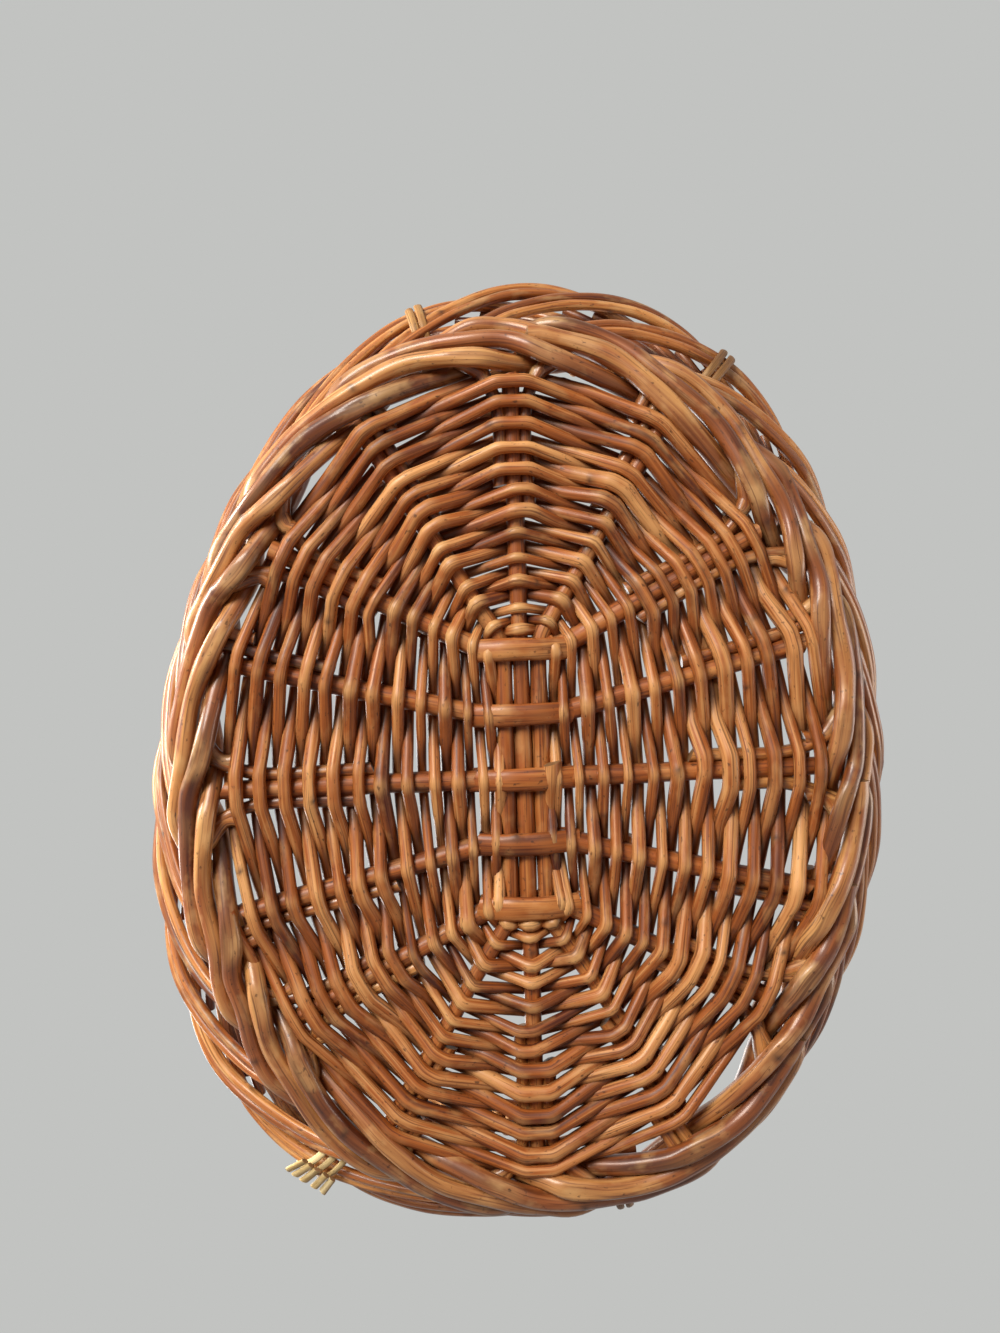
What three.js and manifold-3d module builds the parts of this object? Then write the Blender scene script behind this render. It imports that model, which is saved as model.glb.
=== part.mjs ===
// A shallow oval willow basket: a stick-and-weave base, side stakes that turn down into the
// border, a thick four-rod wale that the basket stands on, and two lashed end handles.
// Millimetres, +Z up, X across the basket, Y along it, floor at Z = 0.
import * as THREE from 'three';
import { mergeVertices } from 'three/addons/utils/BufferGeometryUtils.js';
import Module from 'manifold-3d';

// Rods
const LONG_STICK_D = 6.2;
const CROSS_STICK_D = 7.4;
const WEAVER_D = 3.8;
const TIP_D = 2.8; // the weaving starts with the thin ends of the rods
const STAKE_D = 4.2;
const WALE_D = 6.6;
const BOW_D = 9;
const WRAP_D = 3.4;
const LASH_D = 2.4;

// Clearances
const GAP = 0.3; // between two rods that lie against each other
const EASE = 0.1; // added where one rod bends round another
const CUT_GAP = 0.7; // from the cut end of a base stick to the wale
const WALE_EASE = 2.2; // room that the wale rods leave each other where they cross
const WALE_SAG = 0.9; // the lowest wale rod lies this much further under the stakes
const LASH_EASE = 2.4; // how far a lashing stands off the rods that it ties

// Base: the ring of stakes where they bend up, and the sticks inside it
const RING_HALF_WIDTH = 124;
const RING_HALF_LENGTH = 162;
const LONG_PITCH = 6.8;
const CROSS_PITCH = 25;
const RAY_ANGLES = [0, 18, 36, 60, 90]; // where the stick ends meet the edge, one quarter
const ROWS = 18; // rows of base weaving
const ROWS_PER_ROD = 6;
const WEAVE_FROM = 0.02; // the weaving runs from this share of each ray to the next
const WEAVE_TO = 0.985; // past this the stakes part to their places in the wall
const SLATH_ROOM = 1.8; // beside the slath, before the cross sticks fan out
const FAN_ROOM = 3.8; // past the slath, before the long sticks fan out
const CORNER_OUT = 1.5; // the outer cross sticks bend this much further out than the others
const CORNER_ALONG = 1; // and this much further along
const MIDDLE_ALONG = 3; // the middle long stick starts its ray this much further along
const SPLIT_LENGTH = 6; // a split runs on this far past the long sticks
const SPLIT_WALL = 3.2; // thickness of each half of a split stick, at the middle
const FOOT_FLAT = 0.9; // worn off the underside of the wale

// Side wall and border
const SIDE_FLARE = 32.4; // degrees from upright
const END_FLARE = 36.8;
const RIM_TWIST = 4.8; // degrees of lean: the rim sits turned on the base,
const RIM_BULGE = 14; // broader at its +Y end,
const RIM_SHIFT = [0.83, -0.29]; // a little towards +X and -Y,
const RIM_CORNER = 3.2; // and further out at two opposite corners,
const RIM_CORNER_AT = 125; // of which one is at this angle
const RING_BULGE = 7.5; // the ring of stakes is fuller at one corner than the base,
const RING_BULGE_AT = 60; // at this angle
const STAKE_FOOT_ANGLES = [5, 20.8, 31, 43, 62.5, 83]; // one quarter, at the base
const STAKE_TOP_ANGLES = [5.7, 20.4, 33, 46.5, 64, 82]; // one quarter, at the border
const STAKE_INSERT = 40; // length of stake pushed in beside its base stick
const WALL_SLANT = 52.4; // from the bend of the stakes to the middle of the border

// Handles
const HANDLE_RISE = 48;
const HANDLE_FROM = 257; // angles of the two lashings at one end
const HANDLE_TO = 302.5;
const HANDLE_FOOT = 9; // length of bow that runs on past a lashing
const LASH_TURNS = 2.5;
const LASH_PITCH = 3;
const WRAP_TURNS = 3;

const wasm = await Module();
wasm.setup();

const stakeR = STAKE_D / 2;
const waleR = WALE_D / 2;
const sideFlare = THREE.MathUtils.degToRad(SIDE_FLARE);
const endFlare = THREE.MathUtils.degToRad(END_FLARE);
const rise = Math.cos((sideFlare + endFlare) / 2); // height gained per length of slant
const waleToStake = stakeR + waleR + GAP;
const waleToWale = WALE_D + WALE_EASE;
const waleUnder = waleToStake + WALE_SAG;
const baseZ = waleUnder + waleR - FOOT_FLAT; // middle of the base: stakes rest on the wale
const waleLow = -0.25 * waleToStake; // the lowest wale rod lies this far outside the ring
const waleStart = 0.27 * waleToWale;
const waleTop = waleStart + waleToWale + waleR; // where the wale ends, up the wall
const waleDip = 0.68 * waleToStake; // a wale rod comes down this far inside the ring
const baseInset = waleDip + waleR + CUT_GAP; // the base ends this far inside the ring
const stakeToStake = STAKE_D + GAP;

const basket = new THREE.Group();

function addPiece(name, geometry, colour) {
  const material = new THREE.MeshStandardMaterial({ color: colour, roughness: 0.45, metalness: 0 });
  const piece = new THREE.Mesh(geometry, material);
  piece.name = name;
  basket.add(piece);
}

// A path straight from point to point, with one step of the rod for each stretch.
class RodPath extends THREE.Curve {
  constructor(points) {
    super();
    this.points = points;
  }
  getPoint(t, target = new THREE.Vector3()) {
    const last = this.points.length - 1;
    const at = THREE.MathUtils.clamp(t * last, 0, last);
    const from = Math.min(Math.floor(at), last - 1);
    return target.lerpVectors(this.points[from], this.points[from + 1], at - from);
  }
  getUtoTmapping(u) {
    return u;
  }
}

function rod(points, diameter, sides) {
  const section = new THREE.Shape();
  for (let i = 0; i < sides; i++) {
    const a = (2 * Math.PI * (i + 0.5)) / sides;
    const [x, y] = [Math.cos(a) * (diameter / 2), Math.sin(a) * (diameter / 2)];
    if (i) section.lineTo(x, y);
    else section.moveTo(x, y);
  }
  section.closePath();
  return new THREE.ExtrudeGeometry(section, {
    steps: points.length - 1,
    extrudePath: new RodPath(points),
    bevelEnabled: false,
  });
}

function solidOf(geometry) {
  const plain = geometry.clone();
  plain.deleteAttribute('normal');
  plain.deleteAttribute('uv');
  const merged = mergeVertices(plain, 1e-4);
  return new wasm.Manifold(new wasm.Mesh({
    numProp: 3,
    vertProperties: new Float32Array(merged.attributes.position.array),
    triVerts: new Uint32Array(merged.index.array),
  }));
}

function geometryOf(solid) {
  const mesh = solid.getMesh();
  const geometry = new THREE.BufferGeometry();
  geometry.setAttribute('position', new THREE.BufferAttribute(new Float32Array(mesh.vertProperties), 3));
  geometry.setIndex(new THREE.BufferAttribute(new Uint32Array(mesh.triVerts), 1));
  return geometry;
}

// A point near the ring of stakes: degrees round it, then out from it, then up from the floor.
function ovalPoint(degrees, out, z) {
  const a = THREE.MathUtils.degToRad(degrees);
  const onRing = new THREE.Vector3(RING_HALF_WIDTH * Math.cos(a), RING_HALF_LENGTH * Math.sin(a), z);
  const outward = new THREE.Vector3(Math.cos(a) / RING_HALF_WIDTH, Math.sin(a) / RING_HALF_LENGTH, 0);
  return onRing.addScaledVector(outward.normalize(), out);
}

// The same, on the ring of stakes, which isn't a true oval.
function ringPoint(degrees, out, z) {
  const near = Math.max(0, Math.cos(THREE.MathUtils.degToRad(degrees - RING_BULGE_AT))) ** 14;
  return ovalPoint(degrees, out + RING_BULGE * near, z);
}

// A point near the side wall: slant is measured up the wall, off is square to it, outwards.
function wallPoint(degrees, slant, off) {
  const a = THREE.MathUtils.degToRad(degrees);
  const corner = RIM_CORNER * Math.cos(a - THREE.MathUtils.degToRad(RIM_CORNER_AT)) ** 8;
  const bulge = RIM_BULGE * Math.sin(a) * Math.cos(a) ** 2 + corner;
  const shift = THREE.MathUtils.degToRad(RIM_SHIFT[0] * Math.cos(a) + RIM_SHIFT[1] * Math.sin(a));
  const askew = THREE.MathUtils.degToRad(bulge - RIM_TWIST * Math.sin(2 * a)) + shift;
  const lean = sideFlare + (endFlare - sideFlare) * Math.sin(a) ** 2 + askew;
  return ringPoint(
    degrees,
    slant * rise * Math.tan(lean) + off * Math.cos(lean),
    baseZ + slant * rise - off * Math.sin(lean),
  );
}

// One quarter of a list of angles, mirrored to the whole round.
function allRound(quarter) {
  const half = [...quarter, ...quarter.map((a) => 180 - a).reverse()];
  const round = [...half, ...half.map((a) => a + 180)];
  return round.filter((a, i) => round.indexOf(a) === i && a < 360);
}

// Base sticks: sixteen ends fan out like rays from the slath to the edge of the base
const slathHalfWidth = LONG_PITCH + LONG_STICK_D / 2 + TIP_D + SLATH_ROOM;
const fanRoom = CROSS_STICK_D + TIP_D + FAN_ROOM;
const quarterStarts = [
  [slathHalfWidth, 0],
  [slathHalfWidth, CROSS_PITCH],
  [slathHalfWidth + CORNER_OUT, 2 * CROSS_PITCH + CORNER_ALONG],
  [2 * LONG_PITCH, 2 * CROSS_PITCH + fanRoom],
  [0, 2 * CROSS_PITCH + fanRoom + MIDDLE_ALONG],
];
const rayAngles = allRound(RAY_ANGLES);
const sideOf = (value) => Math.sign(Math.round(value * 1e6));
const rays = rayAngles.map((angle) => {
  const a = THREE.MathUtils.degToRad(angle);
  const folded = angle % 180 > 90 ? 180 - (angle % 180) : angle % 180;
  const [x, y] = quarterStarts[RAY_ANGLES.indexOf(folded)];
  const start = new THREE.Vector3(x * sideOf(Math.cos(a)), y * sideOf(Math.sin(a)), baseZ);
  const end = ovalPoint(angle, -baseInset, baseZ);
  const isLong = folded >= RAY_ANGLES[3];
  return { angle, start, end, stickR: (isLong ? LONG_STICK_D : CROSS_STICK_D) / 2 };
});
const rayAt = (angle) => rays[rayAngles.indexOf((angle + 360) % 360)];
const onRay = (ray, share) => ray.start.clone().lerp(ray.end, share);

for (let i = -1; i <= 1; i++) {
  const near = rayAt(270 + i * (90 - RAY_ANGLES[3]));
  const far = rayAt(90 - i * (90 - RAY_ANGLES[3]));
  const straight = 2 * CROSS_PITCH + CROSS_STICK_D / 2;
  const points = [
    near.end,
    near.start,
    new THREE.Vector3(i * LONG_PITCH, -straight, baseZ),
    new THREE.Vector3(i * LONG_PITCH, straight, baseZ),
    far.start,
    far.end,
  ];
  addPiece(`long_stick_${i + 2}`, rod(points, LONG_STICK_D, 8), '#8f5429');
}

// Each cross stick is split in the middle, and the split swells over the long sticks.
const slotHalfWidth = LONG_PITCH + LONG_STICK_D / 2 + GAP;
const slotHeight = LONG_STICK_D + 2 * GAP;
const swell = new THREE.SphereGeometry(1, 12, 6);
swell.rotateX(Math.PI / 2);
for (let i = -2; i <= 2; i++) {
  const angle = Math.sign(i) * RAY_ANGLES[Math.abs(i)];
  const right = rayAt(angle);
  const left = rayAt(180 - angle);
  const y = i * CROSS_PITCH;
  const points = [
    left.end,
    left.start,
    new THREE.Vector3(-slotHalfWidth, y, baseZ),
    new THREE.Vector3(slotHalfWidth, y, baseZ),
    right.start,
    right.end,
  ];
  const lens = swell.clone();
  lens.scale(slotHalfWidth + SPLIT_LENGTH, CROSS_STICK_D * 0.56, slotHeight / 2 + SPLIT_WALL);
  lens.translate(0, y, baseZ);
  const slot = new THREE.BoxGeometry(2 * slotHalfWidth, 3 * CROSS_STICK_D, slotHeight);
  slot.translate(0, y, baseZ);
  const whole = solidOf(rod(points, CROSS_STICK_D, 8)).add(solidOf(lens));
  addPiece(`cross_stick_${i + 3}`, geometryOf(whole.subtract(solidOf(slot))), '#94582b');
}

// Base weaving: two rods chase each other outwards, over one stick and under the next
const rowShare = (row) => WEAVE_FROM + ((WEAVE_TO - WEAVE_FROM) * row) / (ROWS + 1);
const stakeShare = (ray) => 1 - (STAKE_INSERT - baseInset) / ray.start.distanceTo(ray.end);

// How far a weaver stands off the middle of the base to clear the sticks on both sides.
function waveHeight(share, weaverR) {
  let height = 0;
  rays.forEach((ray, i) => {
    const next = rays[(i + 1) % rays.length];
    const apart = onRay(ray, share).distanceTo(onRay(next, share));
    const stickR = Math.max(ray.stickR, next.stickR);
    const clear = stickR + weaverR + EASE;
    height = Math.max(height, (clear * apart) / Math.sqrt(apart ** 2 - 4 * clear ** 2));
    if (share < Math.min(stakeShare(ray), stakeShare(next)) - 0.02) return;
    const beside = stakeR + weaverR + EASE;
    const room = apart / 2 - (stickR + stakeR + GAP);
    height = Math.max(height, (beside * apart) / (2 * Math.sqrt(room ** 2 - beside ** 2)));
  });
  return height;
}

let rodCount = 0;
for (let first = 0; first < ROWS; first += ROWS_PER_ROD) {
  for (const strand of [0, 1]) {
    const diameter = first === 0 ? TIP_D : WEAVER_D;
    const steps = (ROWS_PER_ROD / 2) * rays.length;
    const corner = (step) => {
      const share = rowShare(first + strand + (2 * step) / rays.length);
      const ray = rays[step % rays.length];
      const side = (step + strand) % 2 ? 1 : -1;
      const point = onRay(ray, share);
      point.z += side * waveHeight(share, diameter / 2);
      return point;
    };
    const points = [];
    for (let step = 0; step <= steps; step++) points.push(corner(step));
    points[steps] = points[steps - 1].clone().lerp(points[steps], 0.75);
    points[0] = points[0].clone().lerp(points[1], 0.1);
    rodCount += 1;
    addPiece(`base_weaver_${rodCount}`, rod(points, diameter, 5), '#ab6830');
  }
}

// Side stakes: in beside a base stick, up the wall, then behind one, in front of two and in
const stakeFeet = allRound(STAKE_FOOT_ANGLES);
const stakeTops = allRound(STAKE_TOP_ANGLES);
const stakeCount = stakeFeet.length;
const turnTo = (from, to) => ((to - from + 540) % 360) - 180;

// The angle part of the way from one stake's place to an earlier one, in the border.
function topAngle(index, pitches) {
  const whole = Math.floor(pitches);
  const from = stakeTops[(index - whole + 2 * stakeCount) % stakeCount];
  const to = stakeTops[(index - whole - 1 + 2 * stakeCount) % stakeCount];
  return from + turnTo(from, to) * (pitches - whole);
}

// Border lay: pitches travelled, off the wall in stake spacings, and the share of the way
// from the top of the wale to the rim. A stake rises inside the wall and comes down outside.
const BORDER_LAY = [
  [0, 0, 0],
  [0.5, -0.55, 0.36],
  [1, -1, 0.69],
  [1.5, -0.65, 0.95],
  [2, 0.33, 1.03],
  [2.5, 1.07, 0.89],
  [3, 1.2, 0.62],
  [3.5, 1.1, 0.3],
  [3.9, 0.87, 0],
];
const borderFoot = waleTop + stakeR + GAP;
const borderHeight = WALL_SLANT - borderFoot;

for (let i = 0; i < stakeCount; i++) {
  const foot = stakeFeet[i];
  const away = (ray) => Math.abs(turnTo(ray.angle, foot));
  const ray = rays.reduce((a, b) => (away(b) < away(a) ? b : a));
  const side = Math.sign(turnTo(ray.angle, foot));
  const along = ray.end.clone().sub(ray.start).normalize();
  const beside = new THREE.Vector3(-along.y, along.x, 0);
  beside.multiplyScalar(side * (ray.stickR + stakeR + GAP));
  const points = [
    onRay(ray, stakeShare(ray)).add(beside),
    onRay(ray, WEAVE_TO).add(beside),
    ringPoint(foot, CUT_GAP - baseInset, baseZ),
    wallPoint(foot, 0, 0),
    wallPoint(foot, waleTop, 0),
  ];
  for (const [pitches, off, up] of BORDER_LAY) {
    points.push(wallPoint(topAngle(i, pitches), borderFoot + up * borderHeight, off * stakeToStake));
  }
  addPiece(`side_stake_${i + 1}`, rod(points, STAKE_D, 5), '#9d5d2d');
}

// Upsett wale: each rod passes under one stake, outside two more, rising, and inside the fourth
const waleLowAt = (a) => ringPoint(a, waleLow, baseZ - waleUnder);
const waleOutsideAt = (a) => wallPoint(a, waleStart, waleToStake);
const waleHighAt = (a) => wallPoint(a, waleStart + waleToWale, 1.15 * waleToStake);
const waleInsideAt = (a) => wallPoint(a, 0.5 * waleToWale, -1.1 * waleToStake);
const waleAt = [waleLowAt, waleOutsideAt, waleHighAt, waleInsideAt];
const waleBetween = [
  (a) => waleLowAt(a).lerp(waleOutsideAt(a), 0.75),
  (a) => waleOutsideAt(a).lerp(waleHighAt(a), 0.75),
  (a) => wallPoint(a, waleStart + 1.15 * waleToWale, -0.4 * waleToStake),
  (a) => ringPoint(a, -waleDip, baseZ - 0.2 * waleToStake),
];
const above = new THREE.BoxGeometry(4 * RING_HALF_LENGTH, 4 * RING_HALF_LENGTH, 4 * RING_HALF_LENGTH);
above.translate(0, 0, 2 * RING_HALF_LENGTH);
const aboveFloor = solidOf(above);
for (let i = 0; i < waleAt.length; i++) {
  const points = [];
  for (let step = 0; step < stakeCount; step++) {
    const at = stakeFeet[(2 * stakeCount - i - step) % stakeCount];
    const next = stakeFeet[(2 * stakeCount - i - step - 1) % stakeCount];
    points.push(waleAt[step % waleAt.length](at));
    points.push(waleBetween[step % waleAt.length](at + turnTo(at, next) / 2));
  }
  const trimmed = solidOf(rod(points, WALE_D, 8)).intersect(aboveFloor);
  addPiece(`upsett_wale_${i + 1}`, geometryOf(trimmed), '#8a5228');
}

// Handles: a bow along the inside of the border at each foot, tied there by a lashing
const borderOffs = BORDER_LAY.map(([, off]) => off * stakeToStake);
const rimTop = borderFoot + Math.max(...BORDER_LAY.map(([, , up]) => up)) * borderHeight;
const bowOff = Math.min(...borderOffs) - (stakeR + BOW_D / 2 + GAP);
const bowSlant = WALL_SLANT - 0.75 * stakeToStake;
const lashInner = bowOff - BOW_D / 2 - LASH_EASE;
const tiedOff = BORDER_LAY.find(([pitches]) => pitches === 2.5)[1] * stakeToStake;
const lashOuter = tiedOff + stakeR + LASH_D / 2 + 2 * GAP;
const lashTop = rimTop + stakeR + LASH_EASE;
const lashBottom = borderFoot + 0.56 * borderHeight; // through a gap between the border rods

// Height of the bow over its feet: it rises, runs level as a grip, and comes down.
function bowRise(share) {
  const fromEnd = Math.min(share, 1 - share);
  return (HANDLE_RISE * (1 - Math.cos(Math.PI * Math.min(1, fromEnd / 0.36)))) / 2;
}

for (const end of [0, 1]) {
  const from = HANDLE_FROM + 180 * end;
  const to = HANDLE_TO + 180 * end;
  const footSpan = THREE.MathUtils.radToDeg(HANDLE_FOOT / RING_HALF_WIDTH);
  const lashSpan = THREE.MathUtils.radToDeg((LASH_TURNS * LASH_PITCH) / RING_HALF_WIDTH);
  const bowPoint = (share) => {
    const point = wallPoint(from + (to - from) * share, bowSlant, bowOff);
    point.z += bowRise((share * (to - from) - lashSpan) / (to - from - 2 * lashSpan));
    return point;
  };
  const bow = [wallPoint(from - footSpan, bowSlant, bowOff), wallPoint(from, bowSlant, bowOff)];
  const bowSteps = 18;
  const lashShare = lashSpan / (to - from);
  for (let i = 0; i <= bowSteps; i++) bow.push(bowPoint(lashShare + ((1 - 2 * lashShare) * i) / bowSteps));
  bow.push(wallPoint(to, bowSlant, bowOff), wallPoint(to + footSpan, bowSlant, bowOff));
  addPiece(`handle_bow_${end + 1}`, rod(bow, BOW_D, 8), '#8c5329');

  const wrapR = BOW_D / 2 + WRAP_D / 2 + 2 * GAP;
  for (const strand of [0, 1]) {
    const points = [];
    const steps = WRAP_TURNS * 8;
    for (let i = 0; i <= steps; i++) {
      const share = 0.28 + (0.44 * i) / steps;
      const middle = bowPoint(share);
      const along = bowPoint(share + 0.01).sub(bowPoint(share - 0.01)).normalize();
      const across = new THREE.Vector3(-along.y, along.x, 0).normalize();
      const over = new THREE.Vector3().crossVectors(along, across);
      const turn = 2 * Math.PI * (i / 8 + strand / 2);
      middle.addScaledVector(across, wrapR * Math.cos(turn));
      points.push(middle.addScaledVector(over, wrapR * Math.sin(turn)));
    }
    addPiece(`handle_wrap_${2 * end + strand + 1}`, rod(points, WRAP_D, 5), '#a5642f');
  }

  [from, to].forEach((middle, foot) => {
    const points = [];
    const steps = LASH_TURNS * 12;
    for (let i = 0; i <= steps; i++) {
      const turn = (2 * Math.PI * i) / 12;
      const shift = (i / steps - 0.5) * LASH_TURNS * LASH_PITCH;
      const off = (lashOuter + lashInner) / 2 + ((lashOuter - lashInner) / 2) * Math.cos(turn);
      const up = (lashTop + lashBottom) / 2 + ((lashTop - lashBottom) / 2) * Math.sin(turn);
      const angle = middle + THREE.MathUtils.radToDeg(shift / RING_HALF_WIDTH);
      points.push(wallPoint(angle, up, off));
    }
    addPiece(`lashing_${2 * end + foot + 1}`, rod(points, LASH_D, 5), '#c9a566');
  });
}

export default basket;
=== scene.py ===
# %% [markdown]
# # A shallow oval willow basket, seen from below
# A basket like this is all rods. There is no sheet and no block in it: the base, the wall and the border
# are whole willow shoots that pass in front of and behind each other. So this lesson never models "a
# weave" as a surface. It grows one rod at a time along the path that a weaver's hands would give it.
#
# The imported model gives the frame: one named solid for each stick, stake, weaver, wale rod, handle and
# lashing. Each of them is replaced here by round, tapering, knotty rods that lie in the same place.

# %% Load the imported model
import math
import random

import bpy
import numpy as np
from mathutils import Matrix, Vector, noise


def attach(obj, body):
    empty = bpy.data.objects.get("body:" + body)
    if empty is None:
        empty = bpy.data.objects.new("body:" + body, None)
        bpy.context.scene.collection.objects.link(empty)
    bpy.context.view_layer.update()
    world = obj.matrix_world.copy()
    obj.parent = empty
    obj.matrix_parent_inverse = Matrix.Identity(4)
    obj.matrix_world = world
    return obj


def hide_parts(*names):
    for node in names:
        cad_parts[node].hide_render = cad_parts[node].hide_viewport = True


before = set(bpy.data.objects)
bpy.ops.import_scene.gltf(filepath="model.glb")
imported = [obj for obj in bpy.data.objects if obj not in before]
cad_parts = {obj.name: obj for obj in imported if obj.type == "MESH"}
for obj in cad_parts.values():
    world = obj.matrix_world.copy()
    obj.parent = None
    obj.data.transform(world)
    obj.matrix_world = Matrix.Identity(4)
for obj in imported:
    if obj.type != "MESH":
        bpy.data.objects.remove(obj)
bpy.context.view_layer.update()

# %% [markdown]
# ## The camera
# The basket is shown from straight below, close to, with a phone's wide lens. That is why the base looks
# large against the border, which is only a little wider but further away. A 27 mm lens on a 36 mm tall
# sensor gives that view at about 0.39 m. The basket's +Y end points down in the picture, so the camera
# lies on its back under the basket, with its top towards -Y. The lens is nearer that end, which is why
# more of the wall shows there, and it leans a little towards the middle.

# %% Camera
MM = 0.001
LENS, SENSOR = 27.0, 36.0
camera_reach = 384.0  # from the lens to the middle of the base
camera_beside = (-18.0, -66.0)  # the lens isn't under the middle
camera_roll, camera_pitch, camera_yaw = math.radians(-2.2), math.radians(-3.35), math.radians(-1.5)
base_height = 9.0  # middle of the base above the floor

eye = bpy.data.cameras.new("camera")
eye.lens, eye.sensor_fit, eye.sensor_height = LENS, "VERTICAL", SENSOR
camera = bpy.data.objects.new("camera", eye)
bpy.context.scene.collection.objects.link(camera)
lens_place = Vector((*camera_beside, base_height - camera_reach)) * MM
camera.matrix_world = (Matrix.Translation(lens_place) @ Matrix.Rotation(math.pi, 4, "X")
                       @ Matrix.Rotation(camera_pitch, 4, "X") @ Matrix.Rotation(camera_yaw, 4, "Y")
                       @ Matrix.Rotation(camera_roll, 4, "Z"))
bpy.context.scene.camera = camera
print("camera at", [round(v, 3) for v in lens_place])

# %% [markdown]
# ## Sizes
# A basket is planned from a few sizes: the oval ring where the side stakes bend up, how far the wall leans
# out, and how thick the rods are. Everything below is placed from these, in millimetres. They are the
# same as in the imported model, so each rod lands on its solid.

# %% Driving sizes, in millimetres
ring_half_width, ring_half_length = 124.0, 162.0
side_flare, end_flare = math.radians(32.4), math.radians(36.8)  # the wall leans out more at the ends
rim_twist, rim_bulge, rim_shift = 4.8, 14.0, (0.83, -0.29)  # degrees of lean: the rim sits askew
rim_corner, rim_corner_at = 3.2, 125.0  # and leans out further at two opposite corners
ring_bulge, ring_bulge_at = 7.5, 60.0  # the ring of stakes is fuller at one corner than the base
rise = math.cos((side_flare + end_flare) / 2)  # height gained per length of slant
wall_slant = 52.4
long_stick_thick, long_stick_pitch = 6.2, 6.8
cross_stick_thick, cross_stick_pitch = 7.4, 25.0
stake_thick, wale_thick, bow_thick = 4.2, 6.6, 9.0
stake_pitch = 4.5  # from one border rod to the next
wale_to_stake = stake_thick / 2 + wale_thick / 2 + 0.3
wale_to_wale = wale_thick + 2.2
wale_under = wale_to_stake + 0.9  # the lowest wale rod lies this far under the stakes
wale_low = -0.25 * wale_to_stake  # counted outwards: the lowest wale rod lies a little inside the ring
wale_dip = 0.68 * wale_to_stake  # a wale rod comes down this far inside the ring
wale_start = 0.27 * wale_to_wale
wale_top = wale_start + wale_to_wale + wale_thick / 2
base_inset = wale_dip + wale_thick / 2 + 0.7  # the base ends this far inside the ring
dice = random.Random(7156)
print("base edge is", round(ring_half_width - base_inset, 1), "by",
      round(ring_half_length - base_inset, 1), "mm from the middle")


# %% [markdown]
# ## Finding a place on the basket
# Three small functions take the place of a drawing. `oval_point` walks round the oval of the base and
# steps out from it. `ring_point` does so on the ring of stakes, which has one fuller corner, because no
# hand bends an even oval. `wall_point` goes on from there up the leaning wall, and off it. With these,
# "behind the next stake" is just a step off the wall.

# %% Places on the ring and the wall
def oval_point(degrees, out, z):
    a = math.radians(degrees)
    on_ring = np.array([ring_half_width * math.cos(a), ring_half_length * math.sin(a), z])
    outward = np.array([math.cos(a) / ring_half_width, math.sin(a) / ring_half_length, 0.0])
    return on_ring + outward / np.linalg.norm(outward) * out


def ring_point(degrees, out, z):
    near = max(0.0, math.cos(math.radians(degrees - ring_bulge_at))) ** 14
    return oval_point(degrees, out + ring_bulge * near, z)


def wall_point(degrees, slant, off):
    a = math.radians(degrees)
    askew = (rim_bulge * math.sin(a) * math.cos(a) ** 2 - rim_twist * math.sin(2 * a)
             + rim_shift[0] * math.cos(a) + rim_shift[1] * math.sin(a)
             + rim_corner * math.cos(a - math.radians(rim_corner_at)) ** 8)
    lean = side_flare + (end_flare - side_flare) * math.sin(a) ** 2 + math.radians(askew)
    out = slant * rise * math.tan(lean) + off * math.cos(lean)
    return ring_point(degrees, out, base_height + slant * rise - off * math.sin(lean))


def all_round(quarter):
    half = quarter + [180 - a for a in quarter]
    return sorted({a % 360 for a in half + [a + 180 for a in half]})


def turn_to(start, end):
    return (end - start + 540) % 360 - 180


print("a corner of the border:", np.round(wall_point(45, wall_slant, 0), 1))


# %% [markdown]
# ## Paths
# Willow bends in two ways. Where it is pulled hard round a stick it kinks: two straight runs and a short
# corner. Where it lies freely it springs in one long curve. So there are two kinds of path: `kinked`
# rounds each corner over a few millimetres, and `sprung` runs a smooth (Catmull-Rom) curve through its
# points. Both are cut into even steps, so that knots and grain come out the same size everywhere.

# %% Kinked and sprung paths
def length_along(line):
    return np.concatenate([[0], np.cumsum(np.linalg.norm(np.diff(line, axis=0), axis=1))])


def evenly(line, step):
    line = np.asarray(line, float)
    along = length_along(line)
    marks = np.linspace(0, along[-1], max(3, int(round(along[-1] / step)) + 1))
    return np.stack([np.interp(marks, along, line[:, i]) for i in range(3)], axis=1)


def kinked(corners, bend=3.0, step=1.6):
    corners = [np.asarray(c, float) for c in corners]
    line = [corners[0]]
    for before, here, after in zip(corners, corners[1:], corners[2:]):
        back, on = before - here, after - here
        start = here + back * min(bend / np.linalg.norm(back), 0.45)
        end = here + on * min(bend / np.linalg.norm(on), 0.45)
        for t in (0.0, 0.25, 0.5, 0.75, 1.0):
            line.append((1 - t) ** 2 * start + 2 * t * (1 - t) * here + t * t * end)
    line.append(corners[-1])
    return evenly(line, step)


def sprung(points, step=2.2):
    points = np.asarray(points, float)
    ends = np.concatenate([[2 * points[0] - points[1]], points, [2 * points[-1] - points[-2]]])
    line = []
    for a, b, c, d in zip(ends, ends[1:], ends[2:], ends[3:]):
        for t in np.linspace(0, 1, 12, endpoint=False):
            line.append(0.5 * (2 * b + (c - a) * t + (2 * a - 5 * b + 4 * c - d) * t * t
                               + (3 * b - a - 3 * c + d) * t ** 3))
    line.append(points[-1])
    return evenly(line, step)


square = [(0, 0, 0), (20, 0, 0), (20, 20, 0)]
print("round a square corner, kinked:", round(length_along(kinked(square))[-1], 1),
      "mm, sprung:", round(length_along(sprung(square))[-1], 1), "mm")

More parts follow.
